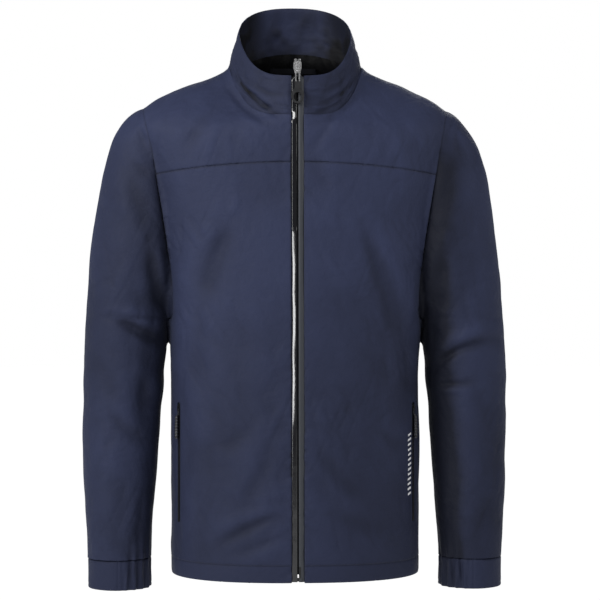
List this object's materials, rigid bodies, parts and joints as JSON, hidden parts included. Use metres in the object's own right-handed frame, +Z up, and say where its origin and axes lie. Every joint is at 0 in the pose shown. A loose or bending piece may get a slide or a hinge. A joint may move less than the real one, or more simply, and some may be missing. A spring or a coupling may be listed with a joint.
{
  "type": "foul weather jacket",
  "caption": "Waterproof hip-length sailing jacket with stand collar, full front zip, side pocket zips, set-in sleeves and half-elasticated cuffs, standing open in its worn shape.",
  "frame": {"origin": "bottom centre of the bounding box: on the jacket's symmetry plane, halfway front to back, level with the lower edge of the cuffs", "axes": "+Z up from the hem to the collar, -Y out of the front of the jacket, +X to the wearer's left"},
  "size_m": [0.5998, 0.2564, 0.835],
  "materials": {
    "shell": "matte coated plain weave",
    "lining": "thin smooth taffeta",
    "zip_tape": "coated water-resistant tape, smooth",
    "zip_coil": "nylon coil",
    "zip_metal": "polished nickel plate",
    "moulded_plastic": "moulded, satin",
    "elastic": "knitted elastic",
    "cord": "braided elastic cord",
    "reflective": "reflective transfer"
  },
  "bodies": {
    "jacket": {"back_panel": "shell", "back_yoke": "shell", "body_lining": "lining", "collar_facing": "shell", "collar_outer": "shell", "cord_lock_barrel_left": "moulded_plastic", "cord_lock_barrel_right": "moulded_plastic", "cord_lock_spring_left": "zip_metal", "cord_lock_spring_right": "zip_metal", "front_panel_left": "shell", "front_panel_right": "shell", "front_yoke_left": "shell", "front_yoke_right": "shell", "front_zip_coil_left": "zip_coil", "front_zip_coil_right": "zip_coil", "front_zip_insertion_pin": "moulded_plastic", "front_zip_retainer_box": "moulded_plastic", "front_zip_tape_left": "zip_tape", "front_zip_tape_right": "zip_tape", "front_zip_top_stop_left": "zip_metal", "front_zip_top_stop_right": "zip_metal", "hang_loop": "cord", "hem_drawcord": "cord", "hem_eyelet_left": "zip_metal", "hem_eyelet_right": "zip_metal", "hem_facing": "shell", "neck_facing": "shell", "pocket_bag_left": "lining", "pocket_bag_right": "lining", "pocket_zip_left_coil_left": "zip_coil", "pocket_zip_left_coil_right": "zip_coil", "pocket_zip_left_tape_left": "zip_tape", "pocket_zip_left_tape_right": "zip_tape", "pocket_zip_right_coil_left": "zip_coil", "pocket_zip_right_coil_right": "zip_coil", "pocket_zip_right_tape_left": "zip_tape", "pocket_zip_right_tape_right": "zip_tape", "reflective_strip": "reflective", "storm_flap": "lining"},
    "left_sleeve": {"sleeve_left": "shell", "sleeve_lining_left": "lining", "cuff_left": "shell", "cuff_elastic_left": "elastic"},
    "right_sleeve": {"sleeve_right": "shell", "sleeve_lining_right": "lining", "cuff_right": "shell", "cuff_elastic_right": "elastic"},
    "front_slider": {"front_zip_slider": "zip_metal"},
    "front_pull": {"front_zip_pull_link": "zip_metal", "front_zip_puller": "moulded_plastic"},
    "left_pocket_slider": {"pocket_zip_left_slider": "moulded_plastic"},
    "left_pocket_pull": {"pocket_zip_left_puller": "moulded_plastic"},
    "right_pocket_slider": {"pocket_zip_right_slider": "moulded_plastic"},
    "right_pocket_pull": {"pocket_zip_right_puller": "moulded_plastic"},
    "left_cord_button": {"cord_lock_button_left": "moulded_plastic"},
    "right_cord_button": {"cord_lock_button_right": "moulded_plastic"}
  },
  "joints": [
    {"name": "left_sleeve_swing", "type": "hinge", "parent": "jacket", "child": "left_sleeve", "pos_m": [0.219, 0, 0.677], "axis": [0, -1, 0], "range_deg": [0, 16]},
    {"name": "right_sleeve_swing", "type": "hinge", "parent": "jacket", "child": "right_sleeve", "pos_m": [-0.219, 0, 0.677], "axis": [0, 1, 0], "range_deg": [0, 16]},
    {"name": "front_zip_slide", "type": "slide", "parent": "jacket", "child": "front_slider", "axis": [0, -0.041, -0.9992], "range_m": [0, 0.669]},
    {"name": "front_pull_swing", "type": "hinge", "parent": "front_slider", "child": "front_pull", "pos_m": [0, -0.10256, 0.72835], "axis": [-1, 0, 0], "range_deg": [0, 160]},
    {"name": "left_pocket_zip_slide", "type": "slide", "parent": "jacket", "child": "left_pocket_slider", "axis": [0.0058, -0.0181, -0.9998], "range_m": [0, 0.148]},
    {"name": "left_pocket_pull_swing", "type": "hinge", "parent": "left_pocket_slider", "child": "left_pocket_pull", "pos_m": [0.16391, -0.05326, 0.26091], "axis": [-0.4559, -0.8899, 0.0135], "range_deg": [0, 150]},
    {"name": "right_pocket_zip_slide", "type": "slide", "parent": "jacket", "child": "right_pocket_slider", "axis": [-0.0058, -0.0181, -0.9998], "range_m": [0, 0.148]},
    {"name": "right_pocket_pull_swing", "type": "hinge", "parent": "right_pocket_slider", "child": "right_pocket_pull", "pos_m": [-0.16391, -0.05326, 0.26091], "axis": [-0.4559, 0.8899, -0.0135], "range_deg": [0, 150]},
    {"name": "left_cord_lock_press", "type": "slide", "parent": "jacket", "child": "left_cord_button", "axis": [0, 0, -1], "range_m": [0, 0.0026], "deforming": ["cord_lock_spring_left"]},
    {"name": "right_cord_lock_press", "type": "slide", "parent": "jacket", "child": "right_cord_button", "axis": [0, 0, -1], "range_m": [0, 0.0026], "deforming": ["cord_lock_spring_right"]}
  ]
}
